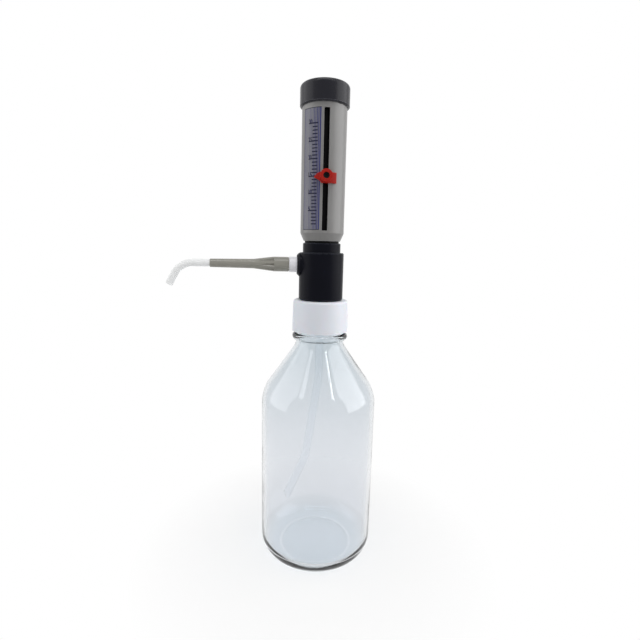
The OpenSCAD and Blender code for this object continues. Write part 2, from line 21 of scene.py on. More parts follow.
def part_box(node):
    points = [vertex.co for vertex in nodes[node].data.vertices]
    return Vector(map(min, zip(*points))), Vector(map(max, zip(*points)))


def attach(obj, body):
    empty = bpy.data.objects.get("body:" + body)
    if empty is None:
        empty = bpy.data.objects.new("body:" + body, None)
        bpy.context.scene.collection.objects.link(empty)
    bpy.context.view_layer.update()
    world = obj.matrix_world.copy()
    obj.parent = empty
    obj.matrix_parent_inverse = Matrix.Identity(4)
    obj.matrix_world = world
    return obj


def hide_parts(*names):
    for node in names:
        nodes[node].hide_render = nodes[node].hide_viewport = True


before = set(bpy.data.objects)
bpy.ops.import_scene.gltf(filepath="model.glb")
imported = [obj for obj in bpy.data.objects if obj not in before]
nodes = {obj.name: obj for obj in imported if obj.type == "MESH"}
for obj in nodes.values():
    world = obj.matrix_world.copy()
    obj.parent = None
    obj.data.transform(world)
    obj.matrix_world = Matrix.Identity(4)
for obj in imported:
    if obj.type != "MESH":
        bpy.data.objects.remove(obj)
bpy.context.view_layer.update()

# %% [markdown]
# ## The camera
#
# A camera could be aimed with a Track To constraint, but a plain matrix says the same thing with
# nothing hidden: stand at a distance, turn round the object, tip down, roll a little. The lens is
# short and the camera is close, so the bottle narrows towards its foot.

# %% Camera
FROM_FRONT = math.radians(-6.1)
DISTANCE = 0.3527
EYE_HEIGHT = 0.2692
TIP_DOWN = math.radians(9.73)
ROLL = math.radians(1.32)

lens = bpy.data.cameras.new("camera")
lens.sensor_width = 36.0
lens.lens = 23.67
lens.clip_start = 0.01
camera = bpy.data.objects.new("camera", lens)
bpy.context.scene.collection.objects.link(camera)
bpy.context.scene.camera = camera
camera.matrix_world = (
    Matrix.Rotation(FROM_FRONT, 4, "Z")
    @ Matrix.Translation((0, -DISTANCE, EYE_HEIGHT))
    @ Matrix.Rotation(math.radians(90) - TIP_DOWN, 4, "X")
    @ Matrix.Rotation(ROLL, 4, "Z")
)
print("camera at", [round(v, 3) for v in camera.matrix_world.translation])

# %% [markdown]
# ## Helpers for materials
#
# Every finish starts from the Principled shader. Colours are written as a paint chart gives them,
# from 0 to 255, and turned into the linear values that the shader works in. `wire` joins two
# sockets, and `node` adds a node and sets its inputs in one line, which keeps each finish short
# enough to read as a recipe.


# %% Material helpers
def paint(red, green, blue):
    """A chart colour, 0 to 255, as the linear colour that a shader takes."""
    def linear(value):
        value /= 255
        return value / 12.92 if value <= 0.04045 else ((value + 0.055) / 1.055) ** 2.4
    return (linear(red), linear(green), linear(blue), 1.0)


def node(tree, kind, inputs=(), **settings):
    made = tree.nodes.new(kind)
    for name, value in settings.items():
        setattr(made, name, value)
    for name, value in dict(inputs).items():
        made.inputs[name].default_value = value
    return made


def new_finish(name, colour, roughness, **sockets):
    """A material with a Principled shader; other sockets are given by name with _ for a space."""
    finish = bpy.data.materials.new(name)
    finish.use_nodes = True
    finish.diffuse_color = colour
    shader = finish.node_tree.nodes["Principled BSDF"]
    shader.inputs["Base Color"].default_value = colour
    shader.inputs["Roughness"].default_value = roughness
    for socket, value in sockets.items():
        shader.inputs[socket.replace("_", " ")].default_value = value
    return finish, finish.node_tree, shader


# %% [markdown]
# ## Effects that several finishes share
#
# Moulded plastic is never one flat colour. Under a lamp it shows a faint mottle from the flow of
# the melt, a fine skin copied from the tool, rubbed edges and a little dust on what faces up. The
# paler edges are also painted highlight, for the light that edges catch. Each of these could be
# painted as an image. Here they are node groups: built once, then placed in each finish with its
# own numbers, and they work on any shape because they read object coordinates.
#
# A group gives out only colours, masks, roughness and normals. The shader stays in the material.


# %% A shell for shader groups
def new_group(name, inputs, outputs):
    group = bpy.data.node_groups.new(name, "ShaderNodeTree")
    for label, kind, value in inputs:
        socket = group.interface.new_socket(label, in_out="INPUT", socket_type=kind)
        if value is not None:
            socket.default_value = value
    for label, kind in outputs:
        group.interface.new_socket(label, in_out="OUTPUT", socket_type=kind)
    entry = group.nodes.new("NodeGroupInput")
    leave = group.nodes.new("NodeGroupOutput")
    return group, entry, leave


FLOAT, COLOUR, VECTOR = "NodeSocketFloat", "NodeSocketColor", "NodeSocketVector"

# %% [markdown]
# ### Moulded skin
#
# The colour wanders slightly with a slow noise, the roughness with a quicker one, and a fine noise
# raises a grain of a few hundredths of a millimetre.

# %% Moulded skin
moulded_skin, entry, leave = new_group(
    "moulded_skin",
    [("Colour", COLOUR, (0.5, 0.5, 0.5, 1)), ("Deep Colour", COLOUR, (0.4, 0.4, 0.4, 1)),
     ("Roughness", FLOAT, 0.4), ("Spread", FLOAT, 0.08), ("Grain Size", FLOAT, 900.0),
     ("Grain Depth", FLOAT, 0.12)],
    [("Colour", COLOUR), ("Roughness", FLOAT), ("Normal", VECTOR)],
)
place = node(moulded_skin, "ShaderNodeTexCoord")
slow = node(moulded_skin, "ShaderNodeTexNoise", {"Scale": 45.0, "Detail": 3.0, "Roughness": 0.55})
quick = node(moulded_skin, "ShaderNodeTexNoise", {"Scale": 160.0, "Detail": 4.0, "Roughness": 0.6})
grain = node(moulded_skin, "ShaderNodeTexNoise", {"Detail": 2.0, "Roughness": 0.5})
mottle = node(moulded_skin, "ShaderNodeMapRange", {"From Min": 0.25, "From Max": 0.75})
blend = node(moulded_skin, "ShaderNodeMix", data_type="RGBA")
centred = node(moulded_skin, "ShaderNodeMath", {1: -0.5}, operation="ADD")
scaled = node(moulded_skin, "ShaderNodeMath", operation="MULTIPLY")
total = node(moulded_skin, "ShaderNodeMath", operation="ADD", use_clamp=True)
bump = node(moulded_skin, "ShaderNodeBump", {"Distance": 0.00005})
wire = moulded_skin.links.new
for noise in (slow, quick, grain):
    wire(place.outputs["Object"], noise.inputs["Vector"])
wire(entry.outputs["Grain Size"], grain.inputs["Scale"])
wire(slow.outputs["Fac"], mottle.inputs["Value"])
wire(mottle.outputs["Result"], blend.inputs["Factor"])
wire(entry.outputs["Colour"], blend.inputs["A"])
wire(entry.outputs["Deep Colour"], blend.inputs["B"])
wire(quick.outputs["Fac"], centred.inputs[0])
wire(centred.outputs[0], scaled.inputs[0])
wire(entry.outputs["Spread"], scaled.inputs[1])
wire(scaled.outputs[0], total.inputs[0])
wire(entry.outputs["Roughness"], total.inputs[1])
wire(grain.outputs["Fac"], bump.inputs["Height"])
wire(entry.outputs["Grain Depth"], bump.inputs["Strength"])
wire(blend.outputs["Result"], leave.inputs["Colour"])
wire(total.outputs[0], leave.inputs["Roughness"])
wire(bump.outputs["Normal"], leave.inputs["Normal"])
print("group:", moulded_skin.name)

# %% [markdown]
# ### Rubbed edges with painted highlight, and settled dust
#
# Hands and bench tops polish the corners of a plastic part, so they read a little paler. Here the
# paler edge is also painted highlight, standing in for the rim light that edges catch, above all on
# the dark head and cap. A bevelled normal leans away from the real one only beside an edge, and
# pointiness keeps the convex edges and drops the grooves. Pointiness alone won't do: a turned part
# has no vertices between its rims, so the value bleeds down the whole side. Noise breaks the line
# up. Dust lies where the surface faces up: the normal's Z, again broken up by noise.

# %% Rubbed edges and painted edge highlight
edge_wear_and_highlight, entry, leave = new_group(
    "edge_wear_and_highlight",
    [("Colour", COLOUR, (0.5, 0.5, 0.5, 1)), ("Wear And Highlight Colour", COLOUR, (0.7, 0.7, 0.7, 1)),
     ("Amount", FLOAT, 0.5)],
    [("Colour", COLOUR)],
)
place = node(edge_wear_and_highlight, "ShaderNodeTexCoord")
shape = node(edge_wear_and_highlight, "ShaderNodeNewGeometry")
ridge = node(edge_wear_and_highlight, "ShaderNodeMapRange", {"From Min": 0.5, "From Max": 0.53})
rounded = node(edge_wear_and_highlight, "ShaderNodeBevel", {"Radius": 0.0006}, samples=4)
lean = node(edge_wear_and_highlight, "ShaderNodeVectorMath", operation="DOT_PRODUCT")
edge = node(edge_wear_and_highlight, "ShaderNodeMapRange", {"From Min": 0.998, "From Max": 0.9})
near = node(edge_wear_and_highlight, "ShaderNodeMath", operation="MULTIPLY")
broken = node(edge_wear_and_highlight, "ShaderNodeTexNoise", {"Scale": 260.0, "Detail": 3.0})
patchy = node(edge_wear_and_highlight, "ShaderNodeMapRange", {"From Min": 0.3, "From Max": 0.6})
both = node(edge_wear_and_highlight, "ShaderNodeMath", operation="MULTIPLY")
mask = node(edge_wear_and_highlight, "ShaderNodeMath", operation="MULTIPLY", use_clamp=True)
blend = node(edge_wear_and_highlight, "ShaderNodeMix", data_type="RGBA")
wire = edge_wear_and_highlight.links.new
wire(shape.outputs["Pointiness"], ridge.inputs["Value"])
wire(place.outputs["Object"], broken.inputs["Vector"])
wire(broken.outputs["Fac"], patchy.inputs["Value"])
wire(rounded.outputs["Normal"], lean.inputs[0])
wire(shape.outputs["Normal"], lean.inputs[1])
wire(lean.outputs["Value"], edge.inputs["Value"])
wire(ridge.outputs["Result"], near.inputs[0])
wire(edge.outputs["Result"], near.inputs[1])
wire(near.outputs[0], both.inputs[0])
wire(patchy.outputs["Result"], both.inputs[1])
wire(both.outputs[0], mask.inputs[0])
wire(entry.outputs["Amount"], mask.inputs[1])
wire(mask.outputs[0], blend.inputs["Factor"])
wire(entry.outputs["Colour"], blend.inputs["A"])
wire(entry.outputs["Wear And Highlight Colour"], blend.inputs["B"])
wire(blend.outputs["Result"], leave.inputs["Colour"])
print("group:", edge_wear_and_highlight.name)

# %% Settled dust
settled_dust, entry, leave = new_group(
    "settled_dust",
    [("Colour", COLOUR, (0.5, 0.5, 0.5, 1)), ("Roughness", FLOAT, 0.4), ("Amount", FLOAT, 0.2)],
    [("Colour", COLOUR), ("Roughness", FLOAT)],
)
place = node(settled_dust, "ShaderNodeTexCoord")
shape = node(settled_dust, "ShaderNodeNewGeometry")
parts = node(settled_dust, "ShaderNodeSeparateXYZ")
upward = node(settled_dust, "ShaderNodeMapRange", {"From Min": 0.35, "From Max": 1.0})
specks = node(settled_dust, "ShaderNodeTexNoise", {"Scale": 1800.0, "Detail": 5.0})
patchy = node(settled_dust, "ShaderNodeMapRange", {"From Min": 0.35, "From Max": 0.9})
both = node(settled_dust, "ShaderNodeMath", operation="MULTIPLY")
mask = node(settled_dust, "ShaderNodeMath", operation="MULTIPLY", use_clamp=True)
blend = node(settled_dust, "ShaderNodeMix", {"B": (0.55, 0.54, 0.52, 1)}, data_type="RGBA")
rough = node(settled_dust, "ShaderNodeMix", {"B": 0.9}, data_type="FLOAT")
wire = settled_dust.links.new
wire(shape.outputs["Normal"], parts.inputs["Vector"])
wire(parts.outputs["Z"], upward.inputs["Value"])
wire(place.outputs["Object"], specks.inputs["Vector"])
wire(specks.outputs["Fac"], patchy.inputs["Value"])
wire(upward.outputs["Result"], both.inputs[0])
wire(patchy.outputs["Result"], both.inputs[1])
wire(both.outputs[0], mask.inputs[0])
wire(entry.outputs["Amount"], mask.inputs[1])
wire(mask.outputs[0], blend.inputs["Factor"])
wire(mask.outputs[0], rough.inputs["Factor"])
wire(entry.outputs["Colour"], blend.inputs["A"])
wire(entry.outputs["Roughness"], rough.inputs["A"])
wire(blend.outputs["Result"], leave.inputs["Colour"])
wire(rough.outputs["Result"], leave.inputs["Roughness"])
print("group:", settled_dust.name)

# %% [markdown]
# ## The plastics
#
# The head, the cap, the sleeve and the rest are the same recipe with other numbers, so one function
# strings the three groups together: skin, then rubbed edges with their painted highlight, then dust,
# then the shader.


# %% Plastic recipe
def moulded_plastic(name, colour, deep, roughness, wear_and_highlight, wear_highlight_amount=0.5, dust=0.15, grain=(900, 0.12),
                    spread=0.1, **sockets):
    finish, tree, shader = new_finish(name, paint(*colour), roughness, **sockets)
    skin = node(tree, "ShaderNodeGroup", node_tree=moulded_skin)
    skin.inputs["Colour"].default_value = paint(*colour)
    skin.inputs["Deep Colour"].default_value = paint(*deep)
    skin.inputs["Roughness"].default_value = roughness
    skin.inputs["Spread"].default_value = spread
    skin.inputs["Grain Size"].default_value = grain[0]
    skin.inputs["Grain Depth"].default_value = grain[1]
    edges = node(tree, "ShaderNodeGroup", node_tree=edge_wear_and_highlight)
    edges.inputs["Wear And Highlight Colour"].default_value = paint(*wear_and_highlight)
    edges.inputs["Amount"].default_value = wear_highlight_amount
    top = node(tree, "ShaderNodeGroup", node_tree=settled_dust)
    top.inputs["Amount"].default_value = dust
    wire = tree.links.new
    wire(skin.outputs["Colour"], edges.inputs["Colour"])
    wire(edges.outputs["Colour"], top.inputs["Colour"])
    wire(skin.outputs["Roughness"], top.inputs["Roughness"])
    wire(top.outputs["Colour"], shader.inputs["Base Color"])
    wire(top.outputs["Roughness"], shader.inputs["Roughness"])
    wire(skin.outputs["Normal"], shader.inputs["Normal"])
    return finish


# %% Plastics and rubbers
# The third colour of each plastic is its paler edge colour: rubbing, and painted highlight for the
# rim light.
finishes = {
    "white_plastic": moulded_plastic(
        "collar_polypropylene", (229, 232, 239), (225, 228, 236), 0.42, (238, 240, 244),
        wear_highlight_amount=0.4, dust=0.1, Subsurface_Weight=0.12, Subsurface_Scale=0.002),
    "pale_plastic": moulded_plastic(
        "connector_polypropylene", (245, 245, 249), (240, 240, 245), 0.4, (240, 240, 244),
        wear_highlight_amount=0.4, dust=0.1),
    "ptfe": moulded_plastic(
        "white_ptfe", (236, 236, 232), (228, 228, 223), 0.5, (245, 245, 243), dust=0.05),
    "dark_plastic": moulded_plastic(
        "head_plastic", (13, 14, 23), (10, 11, 19), 0.32, (84, 88, 100), wear_highlight_amount=0.7, dust=0.03,
        spread=0.06, Specular_IOR_Level=0.06),
    "cap_plastic": moulded_plastic(
        "cap_plastic", (19, 19, 29), (16, 16, 25), 0.26, (112, 112, 120), wear_highlight_amount=0.8, dust=0.03,
        spread=0.06, Specular_IOR_Level=0.22),
    "black_plastic": moulded_plastic(
        "guard_plastic", (6, 6, 8), (4, 4, 5), 0.45, (30, 30, 33), wear_highlight_amount=0.3, dust=0.02,
        Specular_IOR_Level=0.06),
    "black_rubber": moulded_plastic(
        "seal_rubber", (20, 20, 21), (14, 14, 15), 0.62, (40, 40, 40), wear_highlight_amount=0.2, dust=0.2,
        grain=(1400, 0.2)),
    "sleeve_grey": moulded_plastic(
        "sleeve_plastic", (121, 120, 119), (117, 116, 115), 0.34, (176, 175, 174), wear_highlight_amount=0.45,
        dust=0.1, grain=(1100, 0.1), spread=0.06, Specular_IOR_Level=0.65),
    "grey_plastic": moulded_plastic(
        "spout_plastic", (144, 142, 133), (138, 136, 128), 0.26, (204, 202, 195), wear_highlight_amount=0.7,
        dust=0.05, grain=(900, 0.05)),
    "red_plastic": moulded_plastic(
        "pointer_plastic", (166, 19, 4), (146, 15, 3), 0.34, (222, 66, 34), wear_highlight_amount=0.4, dust=0.05,
        spread=0.1, Specular_IOR_Level=0.25),
}
print("plastics:", ", ".join(sorted(finishes)))

# %% [markdown]
# ## The blue label
#
# The label is a printed film laid in a shallow recess of the sleeve. Film is smoother than the
# plastic round it and its blue has a fine, almost woven screen from the print. A wave texture run
# both ways would look mechanical, so a stretched noise gives the streaks of the squeegee instead.

# %% Label film
film, tree, shader = new_finish("label_film", paint(70, 72, 120), 0.42,
                              Specular_IOR_Level=0.05)
skin = node(tree, "ShaderNodeGroup", node_tree=moulded_skin)
skin.inputs["Colour"].default_value = paint(72, 74, 122)
skin.inputs["Deep Colour"].default_value = paint(67, 69, 115)
skin.inputs["Roughness"].default_value = 0.34
skin.inputs["Grain Size"].default_value = 1600
skin.inputs["Grain Depth"].default_value = 0.08
place = node(tree, "ShaderNodeTexCoord")
stretch = node(tree, "ShaderNodeMapping", {"Scale": (900.0, 900.0, 30.0)})
streaks = node(tree, "ShaderNodeTexNoise", {"Scale": 1.0, "Detail": 2.0})
faint = node(tree, "ShaderNodeMapRange", {"From Min": 0.35, "From Max": 0.7, "To Max": 0.18})
tint = node(tree, "ShaderNodeMix", {"B": paint(60, 62, 99)}, data_type="RGBA")
wire = tree.links.new
wire(place.outputs["Object"], stretch.inputs["Vector"])
wire(stretch.outputs["Vector"], streaks.inputs["Vector"])
wire(streaks.outputs["Fac"], faint.inputs["Value"])
wire(faint.outputs["Result"], tint.inputs["Factor"])
wire(skin.outputs["Colour"], tint.inputs["A"])
wire(tint.outputs["Result"], shader.inputs["Base Color"])
wire(skin.outputs["Roughness"], shader.inputs["Roughness"])
wire(skin.outputs["Normal"], shader.inputs["Normal"])
finishes["scale_blue"] = film
finishes["scale_ink"] = moulded_plastic(
    "navy_ink", (17, 18, 42), (22, 23, 50), 0.45, (34, 36, 66), wear_highlight_amount=0.1, dust=0.0,
    Specular_IOR_Level=0.2)
# A dark colour for the label's edge: painted shade for the shadow at the recess edge, not print.
finishes["label_edge_shade"] = moulded_plastic(
    "label_edge_shade", (52, 53, 62), (46, 47, 56), 0.45, (70, 71, 80), wear_highlight_amount=0.1, dust=0.0,
    Specular_IOR_Level=0.3)
print("label:", film.name)

# %% [markdown]
# ## Steel and ceramic
#
# The springs, the nut and the screw are turned or drawn steel. Turning leaves fine rings and
# drawing leaves fine lines; at this size both are just a stretched noise in the roughness. The
# valve balls are ceramic, dense and glossy.


# %% Steel and ceramic finishes
def drawn_steel(name, colour, roughness, stretch):
    finish, tree, shader = new_finish(name, paint(*colour), roughness, Metallic=1.0)
    place = node(tree, "ShaderNodeTexCoord")
    along = node(tree, "ShaderNodeMapping", {"Scale": stretch})
    lines = node(tree, "ShaderNodeTexNoise", {"Scale": 1.0, "Detail": 3.0})
    band = node(tree, "ShaderNodeMapRange", {"To Min": roughness - 0.08, "To Max": roughness + 0.14})
    relief = node(tree, "ShaderNodeBump", {"Distance": 0.00003, "Strength": 0.2})
    wire = tree.links.new
    wire(place.outputs["Object"], along.inputs["Vector"])
    wire(along.outputs["Vector"], lines.inputs["Vector"])
    wire(lines.outputs["Fac"], band.inputs["Value"])
    wire(band.outputs["Result"], shader.inputs["Roughness"])
    wire(lines.outputs["Fac"], relief.inputs["Height"])
    wire(relief.outputs["Normal"], shader.inputs["Normal"])
    return finish


finishes["spring_steel"] = drawn_steel("spring_wire", (190, 190, 188), 0.28, (400, 3000, 3000))
finishes["nut_steel"] = drawn_steel("plated_nut", (176, 176, 172), 0.3, (300, 300, 3000))
finishes["screw_steel"] = drawn_steel("black_oxide_screw", (30, 30, 32), 0.42, (2000, 300, 2000))
finishes["ceramic_white"] = moulded_plastic(
    "valve_ceramic", (238, 236, 230), (230, 228, 221), 0.14, (246, 245, 241), wear_highlight_amount=0.1, dust=0.0,
    grain=(2500, 0.04), spread=0.04)
print("metals and ceramic done")

# %% [markdown]
# ## Glass and clear tubing
#
# Glass is all refraction: the mesh has an outer and an inner wall, and the shader bends light at
# each. Real glass also lets light through to the floor, which a path tracer finds only by luck, so
# shadow rays are let through here as tinted clear film. The bottle's colour is painted darker from
# about 9 cm up to the neck, as painted shade for the grey reflections on the shoulder, and it is
# also darker in the lowest 2 cm. The outlet tube is milky and lets only shadow rays through. The
# suction tube hangs in the bottle and hardly bends light, so it stays faint.


# %% Clear materials
def clear_material(name, colour, roughness, weight, shadow, ripple, **sockets):
    finish, tree, shader = new_finish(name, paint(*colour), roughness, Transmission_Weight=weight,
                                      **sockets)
    place = node(tree, "ShaderNodeTexCoord")
    waves = node(tree, "ShaderNodeTexNoise", {"Scale": ripple[0], "Detail": 1.0})
    relief = node(tree, "ShaderNodeBump", {"Distance": 0.0004, "Strength": ripple[1]})
    path = node(tree, "ShaderNodeLightPath")
    through = node(tree, "ShaderNodeBsdfTransparent", {"Color": paint(*shadow)})
    either = node(tree, "ShaderNodeMixShader")
    end = tree.nodes["Material Output"]
    wire = tree.links.new
    wire(place.outputs["Object"], waves.inputs["Vector"])
    wire(waves.outputs["Fac"], relief.inputs["Height"])
    wire(relief.outputs["Normal"], shader.inputs["Normal"])
    wire(path.outputs["Is Shadow Ray"], either.inputs["Fac"])
    wire(shader.outputs["BSDF"], either.inputs[1])
    wire(through.outputs["BSDF"], either.inputs[2])
    wire(either.outputs["Shader"], end.inputs["Surface"])
    return finish


SODA_GLASS, DARKER_GLASS = (238, 240, 243), (219, 225, 229)
finishes["bottle_glass"] = clear_material(
    "soda_glass", SODA_GLASS, 0.0, 1.0, (236, 239, 242), (36.0, 0.22), IOR=1.5)
# Painted shade: the glass colour darkens from 9 cm up to the neck for the shoulder's grey
# reflections, and also in the lowest 2 cm.
tree = finishes["bottle_glass"].node_tree
place = node(tree, "ShaderNodeTexCoord")
parts = node(tree, "ShaderNodeSeparateXYZ")
neck_end = node(tree, "ShaderNodeMapRange", {"From Min": 0.09, "From Max": 0.195})
foot_end = node(tree, "ShaderNodeMapRange", {"From Min": 0.02, "From Max": 0.004})
either = node(tree, "ShaderNodeMath", operation="MAXIMUM")
tint = node(tree, "ShaderNodeMix", {"A": paint(*SODA_GLASS), "B": paint(*DARKER_GLASS)},
            data_type="RGBA")
wire = tree.links.new
wire(place.outputs["Object"], parts.inputs["Vector"])
for end in (neck_end, foot_end):
    wire(parts.outputs["Z"], end.inputs["Value"])
wire(neck_end.outputs["Result"], either.inputs[0])
wire(foot_end.outputs["Result"], either.inputs[1])
wire(either.outputs[0], tint.inputs["Factor"])
wire(tint.outputs["Result"], tree.nodes["Principled BSDF"].inputs["Base Color"])
finishes["barrel_glass"] = clear_material(
    "barrel_glass", (246, 250, 250), 0.02, 1.0, (240, 244, 244), (30.0, 0.05), IOR=1.47)
finishes["clear_fep"] = clear_material(
    "milky_tubing", (249, 250, 250), 0.4, 0.0, (232, 236, 236), (60.0, 0.01), IOR=1.34)
thin_tubing = clear_material(
    "thin_tubing", (252, 253, 254), 0.08, 1.0, (248, 250, 250), (60.0, 0.01), IOR=1.03)
print("clear:", finishes["bottle_glass"].name, finishes["clear_fep"].name)

# %% [markdown]
# ## Dress the solid model
#
# Each part of the record names a material slot, and each slot has its finish here. A part whose
# shape is already right needs nothing more than that. The suction tube shares its slot with the
# outlet tube but is much fainter, so it takes a finish of its own. The connector takes the paler
# white finish rather than the collar's: painted light, lifting the shade that the boss casts on it.

# %% Finishes onto the parts
for name, part in sorted(nodes.items()):
    slot = part.data.materials[0].name
    part.data.materials[0] = finishes[slot]
    print(f"{name:18s} {slot:14s} {finishes[slot].name}")
nodes["suction_tube"].data.materials[0] = thin_tubing
# Painted light: the paler white lifts the shade on the connector.
nodes["outlet_connector"].data.materials[0] = finishes["pale_plastic"]

# %% [markdown]
# ## Helpers for meshes
#
# Most of these parts are round, and a lathe is the natural tool: draw half the outline, round its
# corners, spin it. The corners are rounded by bevelling the outline's points, before the spin, so
# one number gives one radius all the way round. Spinning first and bevelling the rims after would
# also work, but each rim would then have to be found again in the finished mesh.

# %% Mesh helpers
MM = 0.001
SMOOTH_BELOW = math.radians(32)


def keep(shape, name, finish, body, stands_for=()):
    """Turns a bmesh into an object that rides on a body and stands for the parts named."""
    for face in shape.faces:
        face.smooth = True
    for edge in shape.edges:
        edge.smooth = len(edge.link_faces) == 2 and edge.calc_face_angle(0) < SMOOTH_BELOW
    mesh = bpy.data.meshes.new(name)
    shape.to_mesh(mesh)
    shape.free()
    mesh.materials.append(finishes[finish])
    piece = bpy.data.objects.new(name, mesh)
    bpy.context.scene.collection.objects.link(piece)
    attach(piece, body)
    if stands_for:
        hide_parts(*stands_for)
    print(f"{name}: {len(mesh.polygons)} faces on {body}")
    return piece


def turned(corners, steps=128, closed=False):
    """Spins an outline in millimetres: (radius, height, length rounded off each side, segments)."""
    shape = bmesh.new()
    points = [shape.verts.new((radius * MM, 0, height * MM)) for radius, height, *_ in corners]
    for first, second in zip(points, points[1:] + (points[:1] if closed else [])):
        shape.edges.new((first, second))
    for point, (_, _, *rounding) in zip(points, corners):
        if rounding:
            bmesh.ops.bevel(shape, geom=[point], offset=rounding[0] * MM, offset_type="OFFSET",
                            segments=rounding[1], profile=0.5, affect="VERTICES", material=-1)
    bmesh.ops.spin(shape, geom=shape.verts[:] + shape.edges[:], cent=(0, 0, 0), axis=(0, 0, 1),
                   angle=math.tau, steps=steps, use_merge=True)
    bmesh.ops.remove_doubles(shape, verts=shape.verts, dist=1e-6)
    bmesh.ops.recalc_face_normals(shape, faces=shape.faces)
    return shape


# %% [markdown]
# ## The bottle
#
# A one litre reagent bottle, blown in soda glass, with a wall of about 3 mm. The outline goes out
# along the foot, up the wall, over the shoulder to the neck, back down inside and across the raised
# floor. The floor is pushed up in the middle so that the bottle stands on a ring.
#
# The thread is a ridge wound round the neck: a spin with a rise for each step. It sinks slightly
# into the neck, as two shells that overlap, because a clean union would buy nothing that shows.

# %% Bottle
MOUTH_Z = 219.31
outline = [
    (0, 4), (15, 4, 14.5, 8), (30, 0, 0.5, 2), (49, 0, 15.9, 12), (49, 147.46, 9.4, 12),
    (20.2, 188.59, 2.5, 6), (20.2, 192.81, 0.5, 2), (23.4, 192.81, 2.6, 6), (23.4, 198.31, 2.6, 6),
    (20.2, 198.31, 0.5, 2), (20.2, MOUTH_Z, 0.9, 4), (17.2, MOUTH_Z, 1.2, 4),
    (17.2, 187.64, 3.4, 6), (46, 146.51, 8.4, 12), (46, 5, 12.9, 10), (30, 5),
    (15, 9, 14.5, 8), (0, 9),
]
bottle = turned(outline)
PITCH, TURNS, PER_TURN = 3.0, 4.25, 64
THREAD_Z = 202.4
ridge = bmesh.new()
section = [(20.0, 0.0), (21.0, 0.6), (21.0, 1.3), (20.0, 1.9)]
corners = [ridge.verts.new((radius * MM, 0, (THREAD_Z + rise) * MM)) for radius, rise in section]
ridge.faces.new(corners)
steps = int(TURNS * PER_TURN)
bmesh.ops.spin(ridge, geom=ridge.verts[:] + ridge.edges[:] + ridge.faces[:], cent=(0, 0, 0),
               axis=(0, 0, 1), dvec=(0, 0, PITCH * MM / PER_TURN), angle=math.tau * TURNS,
               steps=steps, use_merge=False)
bmesh.ops.recalc_face_normals(ridge, faces=ridge.faces)
ridge_mesh = bpy.data.meshes.new("thread_ridge")
ridge.to_mesh(ridge_mesh)
ridge.free()
bottle.from_mesh(ridge_mesh)
keep(bottle, "glass_bottle", "bottle_glass", "bottle", ("bottle",))

# %% [markdown]
# ## The print on the label
#
# The scale is thirty ticks, one for each millilitre, with a longer tick and a number at every
# fifth. Printed ink could be a texture, but the ticks are plain bars and the numbers plain text, so
# both are made flat as thin solids and then wrapped: across becomes angle round the sleeve, and
# thickness becomes radius. They stand a few hundredths of a millimetre proud of the film, as
# screen ink does.

# %% Wrap flat print round the sleeve
sleeve_low, sleeve_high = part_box("sleeve")
SLEEVE_R = (sleeve_high[0] - sleeve_low[0]) / 2 / MM
ZERO_Z, PER_ML = 284.96, 2.5557
SCALE_ML = 30


def wrap(shape):
    """x becomes degrees round the sleeve from its front, y stays height, z is added to the radius."""
    for point in shape.verts:
        angle, radius = math.radians(point.co.x), (SLEEVE_R + point.co.z) * MM
        height = point.co.y * MM
        point.co = (radius * math.sin(angle), -radius * math.cos(angle), height)
    bmesh.ops.recalc_face_normals(shape, faces=shape.faces)


def bar(shape, left, right, low, high, proud=0.03):
    """A thin bar between two angles and two heights, cut across so that it can follow the curve."""
    made = bmesh.ops.create_cube(shape, size=1.0)["verts"]
    size = Vector((right - left, high - low, proud + 0.06))
    bmesh.ops.scale(shape, vec=size, verts=made)
    middle = Vector(((left + right) / 2, (low + high) / 2, (proud - 0.06) / 2))
    bmesh.ops.translate(shape, vec=middle, verts=made)
    across = [e for v in made for e in v.link_edges
              if abs(e.verts[0].co.x - e.verts[1].co.x) > 0.5 * size.x]
    cuts = max(0, int(size.x / 2.5) - 1)
    if cuts:
        bmesh.ops.subdivide_edges(shape, edges=list(set(across)), cuts=cuts, use_grid_fill=True)


# %% Ticks
# Left and right end in degrees, and half the thickness in millimetres.
LONG_TICK, SHORT_TICK = (-46.5, -21.8, 0.5), (-36.8, -22.3, 0.45)
ticks = bmesh.new()
for millilitre in range(1, SCALE_ML + 1):
    middle = ZERO_Z + millilitre * PER_ML
    left, right, half = LONG_TICK if millilitre % 5 == 0 else SHORT_TICK
    bar(ticks, left, right, middle - half, middle + half)
wrap(ticks)
keep(ticks, "scale_ticks", "scale_ink", "plunger")

# %% Numbers
NUMBER_MIDDLE, NUMBER_LIFT, NUMBER_SINK = -42.6, 1.1, 0.015
TWO_DIGITS, ONE_DIGIT = 10.4, 6.6
numbers = bmesh.new()
for millilitre in range(5, SCALE_ML + 1, 5):
    writing = bpy.data.curves.new("writing", "FONT")
    writing.body = str(millilitre)
    writing.size, writing.extrude, writing.offset = 4.7, 0.045, 0.1
    writing.align_x, writing.align_y = "CENTER", "CENTER"
    writing.resolution_u = 3
    holder = bpy.data.objects.new("writing", writing)
    flat = bpy.data.meshes.new_from_object(holder)
    width = max(v.co.x for v in flat.vertices) - min(v.co.x for v in flat.vertices)
    narrow = (TWO_DIGITS if millilitre > 9 else ONE_DIGIT) / width
    spot = (NUMBER_MIDDLE, ZERO_Z + millilitre * PER_ML + NUMBER_LIFT, -NUMBER_SINK)
    flat.transform(Matrix.Translation(spot) @ Matrix.Diagonal((narrow, 1, 1, 1)))
    numbers.from_mesh(flat)
bmesh.ops.remove_doubles(numbers, verts=numbers.verts, dist=1e-4)
wrap(numbers)
keep(numbers, "scale_numbers", "scale_ink", "plunger")

